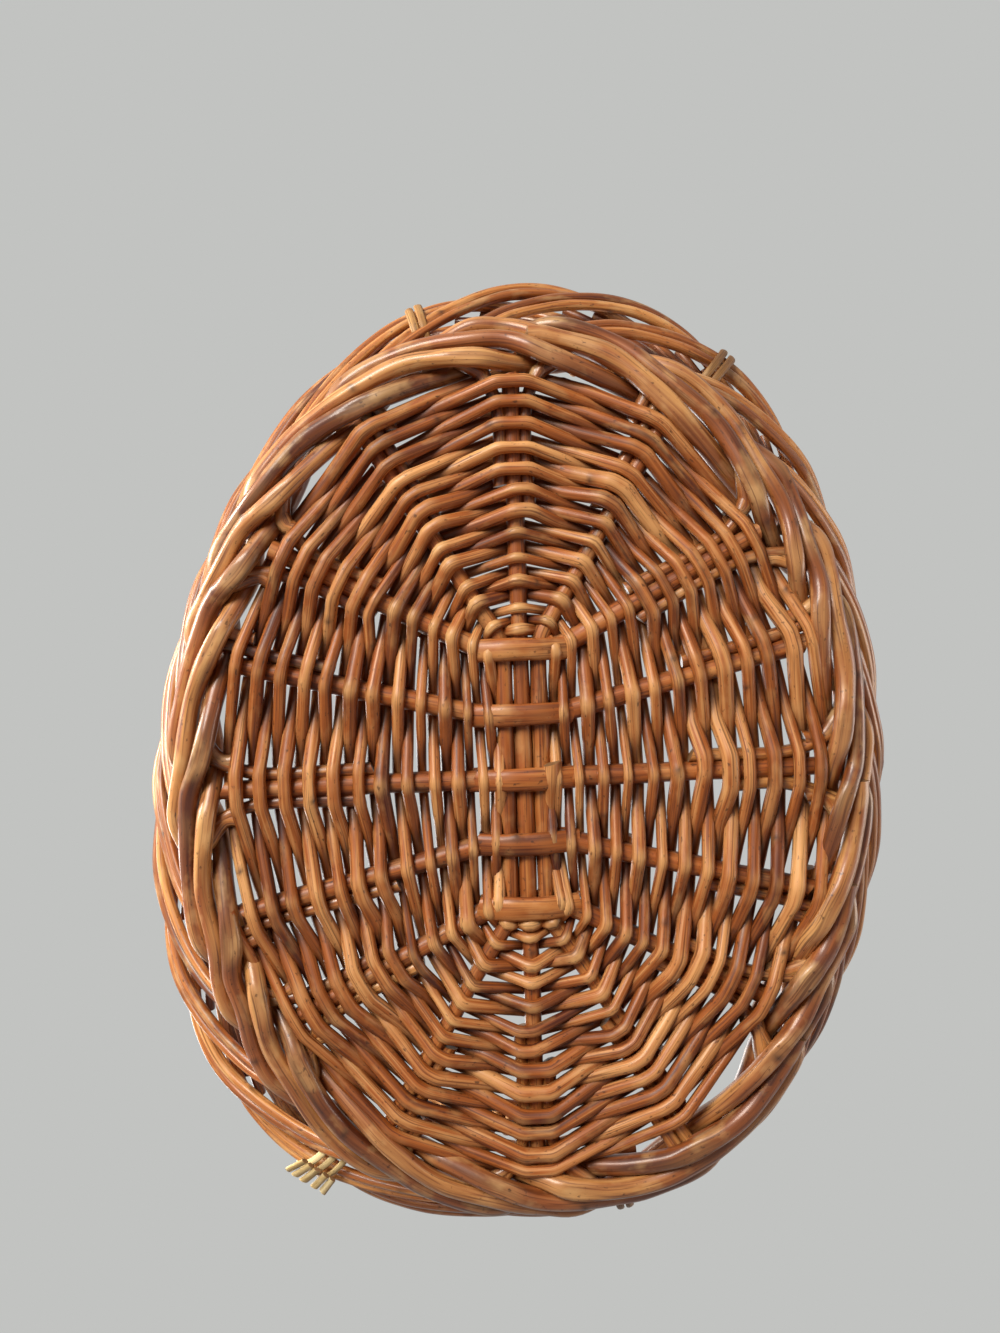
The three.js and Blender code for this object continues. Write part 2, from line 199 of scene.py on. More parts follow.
# %% [markdown]
# ## One willow rod
# A rod could be a curve object with a round bevel. That is quick, but it can't taper unevenly, carry a
# bud or show a cut end. So `grow_rod` sweeps rings along the path itself. Each rod thins from butt to tip,
# swells a little here and there, and has a bud scar every few centimetres. It also writes down, for each
# point, what the finish needs to know: where it lies in the grain, how dark this shoot is, whether it is
# on a bud, on the outside of a kink or on a cut end, and how deep it lies in the weave of the base. The
# kink mark is painted paler, partly as wear and partly as a painted highlight. The depth in the base is
# painted darker, as painted shade.

# %% What is noted of a rod
rod_notes = ("tone", "bud", "worn", "cut", "recess")
swell_length, swell_share = 16.0, 0.09  # millimetres, and a share of the radius
lump_length, lump_share = 22.0, 0.13  # the section is never quite round
bud_length, bud_width, bud_rise = 1.4, 0.5, 0.16  # millimetres along, radians round, share of the radius
kink_wear, kink_spread = 3.0, 0.1  # a kink's outside is painted paler, partly as wear and partly as a painted highlight; the kink spreads a little
knife_slant, cut_crown = 0.5, 0.12  # of a cut end, as shares of the radius
grain_radius = 2.2  # the grain is drawn on a rod of this radius, in millimetres
recess_depth = 1.9  # painted shade darkens rods this near the middle of the base


def new_bundle():
    return {what: [] for what in ("points", "faces", "grain", *rod_notes)}


def add_points(bundle, points, grain, **notes):
    bundle["points"].append(points.reshape(-1, 3))
    bundle["grain"].append(grain.reshape(-1, 3))
    for what in rod_notes:
        bundle[what].append(np.broadcast_to(notes[what], points.shape[:-1]).ravel())


print("each point of a rod carries:", ", ".join(rod_notes))


# %% Rings and bud scars
def ring_frames(path, first_side):
    heading = np.gradient(path, axis=0)
    heading /= np.linalg.norm(heading, axis=1)[:, None]
    side = np.asarray(first_side, float)
    sides = []
    for h in heading:
        side = side - h * side.dot(h)
        side /= np.linalg.norm(side)
        sides.append(side)
    return heading, np.array(sides), np.cross(heading, sides)


def bud_scars(along, turn, bud_every):
    bud = np.zeros((len(along), len(turn)))
    place = dice.uniform(10, bud_every)
    while place < along[-1] - 4:
        angle = dice.uniform(0, 2 * math.pi)
        apart = np.angle(np.exp(1j * (turn - angle)))
        bud = np.maximum(bud, np.exp(-((along - place) / bud_length) ** 2)[:, None]
                         * np.exp(-(apart / bud_width) ** 2))
        place += dice.uniform(0.5, 1.5) * bud_every
    return bud


print("a bud scar is about", 2 * bud_length, "mm long")


# %% Faces between the rings, and cut ends
def points_so_far(bundle):
    return sum(len(points) for points in bundle["points"])


def join_rings(bundle, count, sides):
    i, j = np.meshgrid(np.arange(count - 1), np.arange(sides), indexing="ij")
    k = (j + 1) % sides
    quads = np.stack([i * sides + j, i * sides + k, (i + 1) * sides + k, (i + 1) * sides + j], axis=2)
    bundle["faces"] += (quads.reshape(-1, 4) + points_so_far(bundle)).tolist()


def close_end(bundle, ring, grain, crown, way, tone):
    first, sides = points_so_far(bundle), len(ring)
    for n in range(sides):
        a, b = (n, (n + 1) % sides)[::way]
        bundle["faces"].append([first + a, first + b, first + sides])
    add_points(bundle, np.concatenate([ring, [ring.mean(axis=0) + crown]]),
               np.concatenate([grain, [grain.mean(axis=0)]]),
               tone=tone, bud=0.0, worn=0.0, cut=1.0, recess=0.0)


print("a cut end slants by up to", knife_slant, "of the rod's radius")


# %% A rod, grown ring by ring
def grow_rod(bundle, path, butt, tip, sides=10, flat=1.0, bud_every=75.0, tone=None, side=None,
             woven=True, butt_swell=0.0, swell_over=12.0):
    path = np.asarray(path, float)
    count = len(path)
    seed = dice.uniform(0, 900)
    tone = dice.random() if tone is None else tone
    if side is None:
        side = (0, 0, 1) if abs(path[1][2] - path[0][2]) < 3 else (1, 0, 0)
    heading, across, over = ring_frames(path, side)
    along = length_along(path)
    swell = np.array([noise.noise(Vector((s / swell_length, seed, 0))) for s in along])
    curl = np.gradient(heading, axis=0)
    pressed = np.clip(kink_wear * np.linalg.norm(curl, axis=1), 0, 1)
    radius = np.interp(along, [0, along[-1]], [butt / 2, tip / 2])
    radius = radius * (1 + swell_share * swell + kink_spread * pressed)
    radius *= 1 + butt_swell * np.exp(-along / swell_over)  # the foot of a shoot is thickest
    turn = np.arange(sides) * 2 * math.pi / sides
    outward = (across[:, None] * (np.cos(turn) * flat)[None, :, None]
               + over[:, None] * np.sin(turn)[None, :, None])
    bud = bud_scars(along, turn, bud_every)
    # the outside of a kink is marked to be painted paler: partly wear, partly a painted highlight
    worn = np.clip(-kink_wear * np.einsum("ijk,ik->ij", outward, curl), 0, 1)
    lumps = np.array([[noise.noise(Vector((math.cos(t), math.sin(t) + seed, s / lump_length)))
                       for t in turn] for s in along])
    reach = radius[:, None] * (1 + bud_rise * bud + lump_share * lumps)
    skin = path[:, None] + outward * reach[:, :, None]
    skin[:, :, 2] = np.maximum(skin[:, :, 2], 0.0)  # worn flat where the basket stands
    # painted shade: points that lie near the middle of the base, deep between other rods, are marked to be
    # darkened
    recess = np.exp(-((skin[:, :, 2] - base_height) / recess_depth) ** 2) * woven
    for end in (0, -1):  # a slanting knife cut at each end
        slope = dice.uniform(-knife_slant, knife_slant)
        skin[end] += heading[end] * (outward[end] @ over[end] * radius[end] * slope)[:, None]
    grain = np.stack([np.broadcast_to(np.cos(turn) * grain_radius, (count, sides)),
                      np.broadcast_to(np.sin(turn) * grain_radius, (count, sides)),
                      np.broadcast_to(along[:, None], (count, sides))], axis=2) + seed
    join_rings(bundle, count, sides)
    add_points(bundle, skin, grain, tone=tone, bud=bud, worn=worn, cut=0.0, recess=recess)
    for end, way in ((0, -1), (-1, 1)):
        close_end(bundle, skin[end], grain[end], heading[end] * way * cut_crown * radius[end], way, tone)


# %% [markdown]
# ## From rods to a piece
# One solid of the imported model may be several real rods: a long weaver is pieced from shorter shoots.
# `tie_up` turns a bundle of rods into one Blender object, hangs the notes for the finish on its points as
# attributes, hangs the object on the root of the frame and hides the solids that it stands for.

# %% A bundle of rods becomes one piece
def tie_up(bundle, name, nodes, finish):
    mesh = bpy.data.meshes.new(name)
    mesh.from_pydata((np.concatenate(bundle["points"]) * MM).tolist(), [], bundle["faces"])
    for note in rod_notes:
        mesh.attributes.new(note, "FLOAT", "POINT").data.foreach_set(
            "value", np.concatenate(bundle[note]).astype(np.float32))
    mesh.attributes.new("grain", "FLOAT_VECTOR", "POINT").data.foreach_set(
        "vector", np.concatenate(bundle["grain"]).astype(np.float32).ravel())
    mesh.shade_smooth()
    mesh.materials.append(finish)
    piece = bpy.data.objects.new(name, mesh)
    bpy.context.scene.collection.objects.link(piece)
    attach(piece, "root")
    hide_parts(*nodes)


# %% [markdown]
# ## The finish: steamed willow under varnish
# Willow that is boiled in its bark and then peeled is called buff. It comes out a warm tan, and years
# under varnish turn it honey brown. To the eye that gives five things. Each shoot has a tone of its own.
# Fine streaks about a millimetre wide run along it for some centimetres, with thin dark fibres between
# them. Bud scars and specks are almost black, because varnish collects in them. The surface has a satin
# gloss, paler in patches from wear. On the outside of the kinks it is painted paler still, partly as wear
# and partly as a painted highlight. And where the rods of the base lie deep between each other, they
# are darkened with painted shade.
#
# All of that hangs on the notes that each rod carries, not on where it lies in the room, so the streaks
# follow every bend.

# %% Colours and nodes
def linear(hex_colour):
    parts = [int(hex_colour[i:i + 2], 16) / 255 for i in (1, 3, 5)]
    return tuple(c / 12.92 if c <= 0.04045 else ((c + 0.055) / 1.055) ** 2.4 for c in parts) + (1.0,)


def node(tree, kind, settings=None, feeds=None):
    made = tree.nodes.new(kind)
    for name, value in (settings or {}).items():
        setattr(made, name, value)
    for name, value in (feeds or {}).items():
        if isinstance(value, bpy.types.NodeSocket):
            tree.links.new(value, made.inputs[name])
        else:
            made.inputs[name].default_value = value
    return made


print("middle grey in linear light:", round(linear("#808080")[0], 3))

# %% [markdown]
# Each pattern is a noise that is stretched along the rod. Its two sizes are in millimetres: across the
# rod and along it. Three of them only show where the noise is high, so they have a level where they
# start, one where they are full, and a strength.

# %% Patterns of the grain
grain_patterns = (("streaks", 1.1, 42.0, 4.0), ("fibres", 0.5, 30.0, 2.0), ("clouds", 9.0, 60.0, 2.0),
                  ("patches", 5.0, 14.0, 3.0), ("specks", 1.0, 2.6, 2.0))  # last, the noise's detail
grain_marks = (("specks", 0.64, 0.74, 0.75), ("fibres", 0.54, 0.68, 0.7), ("patches", 0.52, 0.68, 0.4))
tone_weight, darkest, palest = 0.42, 0.8, 1.58  # the last two are sums of tone, streaks and clouds
# the pale kink mark is partly wear and partly a painted highlight; the dark mark deep in the base is
# painted shade
worn_strength, recess_shade_strength = 0.75, 0.7
dullest, glossiest = 0.12, -0.06  # added to the roughness between streaks, and on them
ridge_strength, ridge_height = 0.6, 0.3  # streaks stand up a little; the height is in millimetres
# the last colour is painted shade for rods that lie deep in the base
scar_colour, cut_colour, recess_shade_colour = "#3A1C0A", "#7C5C3C", "#381003"
print("patterns:", [what for what, *sizes in grain_patterns])


# %% Varnished willow
def varnished_willow(name, deep, middle, pale, worn_to="#D6A56C", gloss=0.48, coat=0.12):
    material = bpy.data.materials.new(name)
    material.use_nodes = True
    tree = material.node_tree
    tree.nodes.clear()
    note = {n: node(tree, "ShaderNodeAttribute", {"attribute_name": n}).outputs["Fac"] for n in rod_notes}
    place = node(tree, "ShaderNodeAttribute", {"attribute_name": "grain"}).outputs["Vector"]
    pattern, mark = {}, {}
    for what, across_mm, along_mm, detail in grain_patterns:
        scaled = node(tree, "ShaderNodeVectorMath", {"operation": "MULTIPLY"},
                      {0: place, 1: (1 / across_mm, 1 / across_mm, 1 / along_mm)})
        pattern[what] = node(tree, "ShaderNodeTexNoise", {}, {
            "Vector": scaled.outputs[0], "Scale": 1.0, "Detail": detail}).outputs["Fac"]
    for what, starts, full, strength in grain_marks:
        mark[what] = node(tree, "ShaderNodeMapRange", {}, {
            "Value": pattern[what], "From Min": starts, "From Max": full, "To Max": strength}).outputs[0]
    tone = node(tree, "ShaderNodeMath", {"operation": "MULTIPLY_ADD"},
                {0: note["tone"], 1: tone_weight, 2: pattern["clouds"]})
    tone = node(tree, "ShaderNodeMath", {"operation": "ADD"}, {0: pattern["streaks"], 1: tone.outputs[0]})
    level = node(tree, "ShaderNodeMapRange", {}, {
        "Value": tone.outputs[0], "From Min": darkest, "From Max": palest})
    ramp = node(tree, "ShaderNodeValToRGB", {}, {"Fac": level.outputs[0]})
    ramp.color_ramp.elements[0].color = linear(deep)
    ramp.color_ramp.elements[1].color = linear(pale)
    ramp.color_ramp.elements.new(0.5).color = linear(middle)
    # paler in patches from wear, and on the outside of kinks, partly wear and partly a painted highlight
    pale_wear_and_highlight = node(tree, "ShaderNodeMath", {"operation": "MULTIPLY_ADD"},
                  {0: note["worn"], 1: worn_strength, 2: mark["patches"]})
    scarred = node(tree, "ShaderNodeMath", {"operation": "MAXIMUM"}, {0: mark["specks"], 1: note["bud"]})
    # painted shade for rods that lie deep in the weave of the base
    recess_shade = node(tree, "ShaderNodeMath", {"operation": "MULTIPLY"}, {0: note["recess"], 1: recess_shade_strength})
    colour = ramp.outputs[0]
    for amount, shade in ((pale_wear_and_highlight.outputs[0], worn_to), (mark["fibres"], deep),
                          (scarred.outputs[0], scar_colour), (note["cut"], cut_colour),
                          (recess_shade.outputs[0], recess_shade_colour)):
        colour = node(tree, "ShaderNodeMix", {"data_type": "RGBA"},
                      {0: amount, 6: colour, 7: linear(shade)}).outputs[2]
    dull = node(tree, "ShaderNodeMapRange", {}, {
        "Value": pattern["streaks"], "From Min": 0.3, "From Max": 0.7,
        "To Min": gloss + dullest, "To Max": gloss + glossiest})
    ridge = node(tree, "ShaderNodeBump", {}, {
        "Strength": ridge_strength, "Distance": ridge_height * MM, "Height": pattern["streaks"]})
    skin = node(tree, "ShaderNodeBsdfPrincipled", {}, {
        "Base Color": colour, "Roughness": dull.outputs[0], "Normal": ridge.outputs[0],
        "IOR": 1.45, "Specular IOR Level": 0.5, "Coat Weight": coat, "Coat Roughness": 0.2})
    node(tree, "ShaderNodeOutputMaterial", {}, {"Surface": skin.outputs[0]})
    return material


# %% The finishes, each from its darkest to its palest tone
buff_weaver = varnished_willow("steamed willow weaver, varnished", "#4E1B05", "#A85E28", "#E6AC6E")
buff_stick = varnished_willow("steamed willow stick, varnished", "#4C1A05", "#A35A26", "#C98748")
buff_stake = varnished_willow("steamed willow stake, varnished", "#532006", "#A9622A", "#DC9F5C",
                              worn_to="#E3BC84", gloss=0.42, coat=0.4)
buff_wale = varnished_willow("steamed willow wale rod, varnished", "#4E1F06", "#96552A", "#D29A5C",
                             worn_to="#DEB47C", gloss=0.42, coat=0.35)
straw_cane = varnished_willow("split cane, bare", "#A98D58", "#D3BA82", "#EEDFAE",
                              worn_to="#F0E4B8", gloss=0.5, coat=0.0)
aged_cane = varnished_willow("split cane, darkened", "#452A12", "#8E6236", "#BD9056",
                             worn_to="#C9A36C", gloss=0.5, coat=0.0)
for finish in (buff_weaver, buff_stick, buff_stake, buff_wale, straw_cane, aged_cane):
    print("finish:", finish.name)

# %% [markdown]
# ## Base sticks
# The base starts with a cross of sticks that weavers call a slath: five short sticks are split in the
# middle and three long ones pushed through. All sixteen ends then fan out like rays to the edge of the
# base. A ray is kept as its start, its end and its stick's thickness, because the weavers need it too.

# %% Rays of the base
ray_quarter = [0, 18, 36, 60, 90]
tip_thick, slath_room, fan_room = 2.8, 1.8, 3.8  # room for the first weaver tips round the slath
slath_edge = long_stick_pitch + long_stick_thick / 2 + tip_thick + slath_room
fan_start = 2 * cross_stick_pitch + cross_stick_thick + tip_thick + fan_room
quarter_starts = {0: (slath_edge, 0), 18: (slath_edge, cross_stick_pitch),
                  36: (slath_edge + 1.5, 2 * cross_stick_pitch + 1),
                  60: (2 * long_stick_pitch, fan_start), 90: (0, fan_start + 3)}
ray_angles = all_round(ray_quarter)
rays = []
for angle in ray_angles:
    folded = min(angle % 180, 180 - angle % 180)
    x, y = quarter_starts[folded]
    start = np.array([math.copysign(x, math.cos(math.radians(angle))),
                      math.copysign(y, math.sin(math.radians(angle))), base_height])
    thick = long_stick_thick if folded >= 60 else cross_stick_thick
    rays.append({"angle": angle, "start": start, "end": oval_point(angle, -base_inset, base_height),
                 "radius": thick / 2})


def ray_at(angle):
    return rays[ray_angles.index(angle % 360)]


def on_ray(ray, share):
    return ray["start"] + (ray["end"] - ray["start"]) * share


print("rays:", len(rays))

# %% [markdown]
# The long sticks are plain rods with a bend at each end of the slath. A cross stick is four rods: two
# whole arms, and the two halves of the split, which part to let the long sticks through. The halves are
# flattened, as split wood is. All are a little thicker than their solids, because real sticks lie close.

# %% Long sticks
slath_end = 2 * cross_stick_pitch + cross_stick_thick / 2
for i in (-1, 0, 1):
    near, far = ray_at(270 + 30 * i), ray_at(90 - 30 * i)
    bundle = new_bundle()
    x = i * long_stick_pitch
    grow_rod(bundle, kinked([near["end"], near["start"], (x, -slath_end, base_height),
                             (x, slath_end, base_height), far["start"], far["end"]], 9.0),
             long_stick_thick * 1.14, long_stick_thick * 1.08, 12, tone=0.45 + 0.1 * i)
    tie_up(bundle, f"long_stick_{i + 2}_rod", [f"long_stick_{i + 2}"], buff_stick)
print("long sticks: 3")

# %% Cross sticks
half_thick, half_flat = cross_stick_thick * 1.2, 0.52
split_lift = long_stick_thick / 2 + 0.27 * cross_stick_thick + 0.3
split_edge = 1.5 * long_stick_pitch
split_path = [(slath_edge + 5, 0.28), (split_edge + 2, 0.7), (split_edge - 4, 1.0)]  # outside to middle
for i in (-2, -1, 0, 1, 2):
    angle = math.copysign(ray_quarter[abs(i)], i)
    bundle = new_bundle()
    y = i * cross_stick_pitch
    tone = dice.uniform(0.25, 0.6)
    for way, ray in ((1, ray_at(angle)), (-1, ray_at(180 - angle))):
        grow_rod(bundle, kinked([(way * (slath_edge - 3), y, base_height), ray["start"], ray["end"]], 8.0),
                 cross_stick_thick * 1.1, cross_stick_thick * 1.02, 12, tone=tone)
    for way in (1, -1):
        lift = way * split_lift
        half = [(-x, y, base_height + lift * up) for x, up in split_path]
        half += [(x, y, base_height + lift * up) for x, up in reversed(split_path)]
        grow_rod(bundle, kinked(half, 4.0), half_thick, half_thick, 14, flat=half_flat, tone=tone)
    tie_up(bundle, f"cross_stick_{i + 3}_rods", [f"cross_stick_{i + 3}"], buff_stick)
print("cross sticks: 5")

# %% [markdown]
# ## Side stakes and their places
# Twenty-four stakes are pushed in beside the sticks, one or two to a ray, then bent up to make the wall.
# Their places come first, because the outer weavers pass over stick and stakes together.

# %% Where the stakes stand
stake_feet = all_round([5, 20.8, 31, 43, 62.5, 83])
stake_tops = all_round([5.7, 20.4, 33, 46.5, 64, 82])
stake_insert = 58.0
for ray in rays:
    ray["stakes"] = {}
    ray["length"] = np.linalg.norm(ray["end"] - ray["start"])
    along = (ray["end"] - ray["start"]) / ray["length"]
    ray["across"] = np.array([-along[1], along[0], 0.0])
stake_rays = []
for foot in stake_feet:
    ray = min(rays, key=lambda r: abs(turn_to(r["angle"], foot)))
    side = 1 if turn_to(ray["angle"], foot) > 0 else -1
    ray["stakes"][side] = 1 - (stake_insert * dice.uniform(0.75, 1.2) - base_inset) / ray["length"]
    stake_rays.append((ray, side))
print("stakes:", len(stake_feet))

# %% [markdown]
# ## Base weavers
# Two weavers chase each other outwards, each over one ray and under the next. A weaver is not one long
# rod: a shoot gives 0.5 to 0.9 m, and where its thin tip runs out, the thick butt of the next one is laid
# in beside it. Those butts are the cut ends that show between the sticks. The rods lie so close that they
# push each other about, so each crossing gets a small shift of its own. At the four corners the rows are
# beaten in further than elsewhere, which leaves a gap between the weave and the wale.

# %% How a weaver runs
weave_rows = 25
weave_from, weave_to, weave_limit = -0.05, 1.03, 1.05  # shares of a ray
weaver_butt, weaver_tip = 5.7, 4.5
corner_slack = 0.035  # share of a ray that the outermost row is beaten in at a corner
crossing_play = 0.7
rod_press = 0.5  # a weaver presses this far into what it crosses
strand_steps = weave_rows // 2 * len(rays) + len(rays) // 2


def weaver_share(strand, step):
    row = strand + 2 * step / len(rays) - 1.5
    return max(weave_from, weave_from + (weave_to - weave_from) * row / (weave_rows - 1.5))


def beaten_in(share, angle):
    return share * (1 - corner_slack * math.sin(2 * math.radians(angle)) ** 2 * max(0.0, share) ** 2)


def weaver_crossing(strand, step, lean=0.0):
    ray = rays[step % len(rays)]
    shift = (dice.uniform(-crossing_play, crossing_play) + lean) / ray["length"]
    share = beaten_in(min(weaver_share(strand, step) + shift, weave_limit), ray["angle"])
    if ray["radius"] < cross_stick_thick / 2:
        share -= 0.05 * max(0.0, 1 - 3 * share)  # close up to the slath at its two ends
    side = 1 if (step + strand) % 2 else -1
    middle = on_ray(ray, share)
    r = (weaver_butt + weaver_tip) / 4 * min(1.0, 0.72 + 0.6 * share)
    corners = []
    for way in (-1, 0, 1):
        if way and not (way in ray["stakes"] and share > ray["stakes"][way]):
            continue
        out = (ray["radius"] + stake_thick * 0.6) * way
        lift = stake_thick / 2 + 1.0 if way else ray["radius"]
        corners.append(middle + ray["across"] * out + np.array([0, 0, side * (lift + r - rod_press)]))
    return corners


def weaver_between(strand, step):
    here, there = rays[step % len(rays)], rays[(step + 1) % len(rays)]
    angle = here["angle"] + turn_to(here["angle"], there["angle"]) / 2
    share = beaten_in(weaver_share(strand, step + 0.5), angle)
    straight = (on_ray(here, share) + on_ray(there, share)) / 2
    edge = oval_point(angle, -base_inset, base_height)
    swung = (here["start"] + there["start"]) / 2 * (1 - share) + edge * share
    return straight + (swung - straight) * min(0.5, max(0.0, share - 0.35) * 0.8)


print("rows:", weave_rows, "in", strand_steps, "crossings of each strand")

# %% Weaving the base
shoot_lengths = (520, 900)
butt_lean = 1.2  # a new butt lies this far outside the tip that it follows
butt_reach, tip_reach, butt_drop = 6.5, 3.0, 0.4  # how far the ends of a rod stick out
weavers = {n: new_bundle() for n in range(1, 7)}
rod_count = 0
for strand in (0, 1):
    step = 0
    while step < strand_steps:
        corners, length, start = [], 0.0, step
        wanted = dice.uniform(*shoot_lengths)
        while step < strand_steps and (length < wanted or (step + strand) % 2):
            if corners and weaver_share(strand, step) > 0.4:
                corners.append(weaver_between(strand, step - 1))
            corners += weaver_crossing(strand, step, butt_lean if step - start < 2 and start else 0.0)
            length = np.linalg.norm(np.diff(corners, axis=0), axis=1).sum()
            step += 1
        slim = min(1.0, 0.78 + 0.4 * weaver_share(strand, step))
        back, on = corners[1] - corners[0], corners[-1] - corners[-2]
        head = corners[0] - back / np.linalg.norm(back) * butt_reach
        tail = corners[-1] + on / np.linalg.norm(on) * tip_reach
        head[2] = corners[0][2] - butt_drop
        part = min(2, int(3 * (start + step) / 2 / strand_steps))
        grow_rod(weavers[2 * part + strand + 1], kinked([head] + corners + [tail], 1.7),
                 weaver_butt * slim * dice.uniform(0.92, 1.14),
                 weaver_tip * slim * dice.uniform(0.9, 1.08), butt_swell=0.24)
        rod_count += 1
        if step < strand_steps:
            step -= 1  # the next butt is laid in beside this tip
for n, bundle in weavers.items():
    tie_up(bundle, f"base_weaver_{n}_rods", [f"base_weaver_{n}"], buff_weaver)
print("base weaving:", rod_count, "rods")

# %% [markdown]
# ## Stakes and border
# The border is not an extra piece. Each stake bends over at the top: it passes behind one neighbour, over
# the rim at the second, down in front of the third, and ends just short of the fourth. The list gives
# that lay: how many neighbours along, how far off the wall in border-rod spacings, and how far from the
# wale to the rim. The rods go in pairs, so every stake has a second shoot that lies close under it. Two
# shorter shoots fill the wall behind them, and two short packing rods close the gap above the wale. Those
# four lie in the shade, so they are given a dark tone: painted shade.

# %% The lay of the border
border_lay = [(0, 0, 0), (0.5, -0.55, 0.36), (1, -1, 0.69), (1.5, -0.65, 0.95), (2, 0.33, 1.03),
              (2.5, 1.07, 0.89), (3, 1.2, 0.62), (3.5, 1.1, 0.3), (3.9, 0.87, 0)]
border_foot = wale_top + stake_thick / 2 + 0.3
border_height = wall_slant - border_foot
pair_shift, pair_inward, pair_down = 0.12, 0.6, 3.6  # spacings along, then millimetres


def border_angle(index, pitches):
    whole = math.floor(pitches)
    start = stake_tops[(index - whole) % len(stake_tops)]
    return start + turn_to(start, stake_tops[(index - whole - 1) % len(stake_tops)]) * (pitches - whole)


def border_path(index, second):
    return [wall_point(border_angle(index, pitches - pair_shift * second),
                       border_foot + up * border_height - pair_down * min(1, up + 0.2) * second,
                       off * stake_pitch - pair_inward * second)
            for pitches, off, up in border_lay]


print("border: each stake runs on for", border_lay[-1][0], "spacings")

# %% Stakes, from the base to the end of the border
stake_buds = 55  # millimetres from bud to bud
# painted shade: the fillers and packing rods get this dark tone because they lie in shade
shade_tone = -0.4
filler_backs, filler_inward = (0.55, 0.8), 1.8  # spacings behind the stake, millimetres inside the wall
packing_heights, packing_inward = (1.5, 6.0), 3.4  # millimetres above the wale, and inside the wall
for i, foot in enumerate(stake_feet):
    ray, side = stake_rays[i]
    beside = ray["across"] * side * (ray["radius"] + stake_thick / 2 + 0.2)
    bundle = new_bundle()
    for second in (0, 1):
        shift = 2.2 * second * side
        inserted = [on_ray(ray, share) + beside * (1 + 0.9 * second)
                    for share in ((0.93, 1.0) if second else (ray["stakes"][side], 0.86))]
        foot_path = [wall_point(foot + shift, 0, 0), wall_point(foot + shift, wale_top * 0.7, 0)]
        grow_rod(bundle, sprung(inserted + foot_path + border_path(i, second)),
                 stake_thick * dice.uniform(1.14, 1.28), stake_thick * dice.uniform(0.9, 1.04),
                 bud_every=stake_buds, butt_swell=0.16, swell_over=45)
    for back in filler_backs:
        inner = [wall_point(border_angle(i, -0.1 - back), 0.4 * border_foot, -filler_inward)]
        inner += [wall_point(border_angle(i, pitches - back), border_foot + up * border_height,
                             off * stake_pitch - filler_inward) for pitches, off, up in border_lay[:4]]
        grow_rod(bundle, sprung(inner), stake_thick * 1.3, stake_thick, bud_every=stake_buds,
                 tone=shade_tone)
    for above in packing_heights:
        packing = [wall_point(border_angle(i, pitches), border_foot + above, -packing_inward)
                   for pitches in (-0.3, 0, 0.3, 0.6, 0.9, 1.2)]
        grow_rod(bundle, sprung(packing), stake_thick * 1.1, stake_thick, bud_every=stake_buds,
                 tone=shade_tone)
    tie_up(bundle, f"side_stake_{i + 1}_rods", [f"side_stake_{i + 1}"], buff_stake)
print("stakes with their seconds, fillers and packing:", len(stake_feet))

# %% [markdown]
# ## The wale
# Four thick rods lock the bend of the stakes, and the basket stands on them. Each passes under one stake,
# outside two more, rising, and inside the fourth. On the real one each is pieced: a butt ends on the
# outside, where its cut face shows, and the next rod goes on from there. So each path here runs from a
# tip, hidden behind that butt, once round to the butt itself.

# %% Wale rods
wale_at = [lambda a: ring_point(a, wale_low, base_height - wale_under),
           lambda a: wall_point(a, wale_start, wale_to_stake),
           lambda a: wall_point(a, wale_start + wale_to_wale, 1.15 * wale_to_stake),
           lambda a: wall_point(a, 0.5 * wale_to_wale, -1.1 * wale_to_stake)]
wale_between = [lambda a: 0.25 * wale_at[0](a) + 0.75 * wale_at[1](a),
                lambda a: 0.25 * wale_at[1](a) + 0.75 * wale_at[2](a),
                lambda a: wall_point(a, wale_start + 1.15 * wale_to_wale, -0.4 * wale_to_stake),
                lambda a: ring_point(a, -wale_dip, base_height - 0.2 * wale_to_stake)]
wale_ends = [3, 18, 1, 0]  # the stake at which each rod's butt shows
wale_tones = [0.0, 0.6, 0.2, 0.75]  # dark and pale shoots lie side by side
wale_tip, wale_butt = wale_thick * 0.98, wale_thick * 1.24
for i, last in enumerate(wale_ends):
    stop = (-i - last) % len(stake_feet)
    points = []
    for step in range(stop - len(stake_feet) - 1, stop + 1):
        here = stake_feet[(-i - step) % len(stake_feet)]
        there = stake_feet[(-i - step - 1) % len(stake_feet)]
        points.append(wale_at[step % 4](here))
        points.append(wale_between[step % 4](here + turn_to(here, there) / 2))
    points[0] += np.array([0, 0, 4.0])  # the tip starts behind the butt
    points[-1] = wale_at[1](here + turn_to(here, there) * 0.3)
    bundle = new_bundle()
    grow_rod(bundle, sprung(points, 2.5), wale_tip, wale_butt, 14, bud_every=60,
             tone=wale_tones[i], woven=False)
    tie_up(bundle, f"upsett_wale_{i + 1}_rods", [f"upsett_wale_{i + 1}"], buff_wale)
print("wale rods:", len(wale_ends))

# %% [markdown]
# ## Handles and lashings
# A bent bow stands on the border at each end, with two thin rods wound round its grip. Cane lashings tie
# its feet to the border. From below only the lashings show.

# %% The line of a handle bow
handle_from, handle_to, handle_rise = 257.0, 302.5, 48.0
handle_span = handle_to - handle_from
bow_off = -(stake_pitch + stake_thick / 2 + bow_thick / 2 + 0.3)
bow_slant = wall_slant - 0.75 * stake_pitch
bow_shoulder = 0.36  # share of the bow over which it rises
tied_turns, tied_pitch = 2.5, 3.0  # of cane round each foot of the bow
tied_span = math.degrees(tied_turns * tied_pitch / ring_half_width)
foot_length = 9.0  # the bow runs on past its lashing
foot_span = math.degrees(foot_length / ring_half_width)


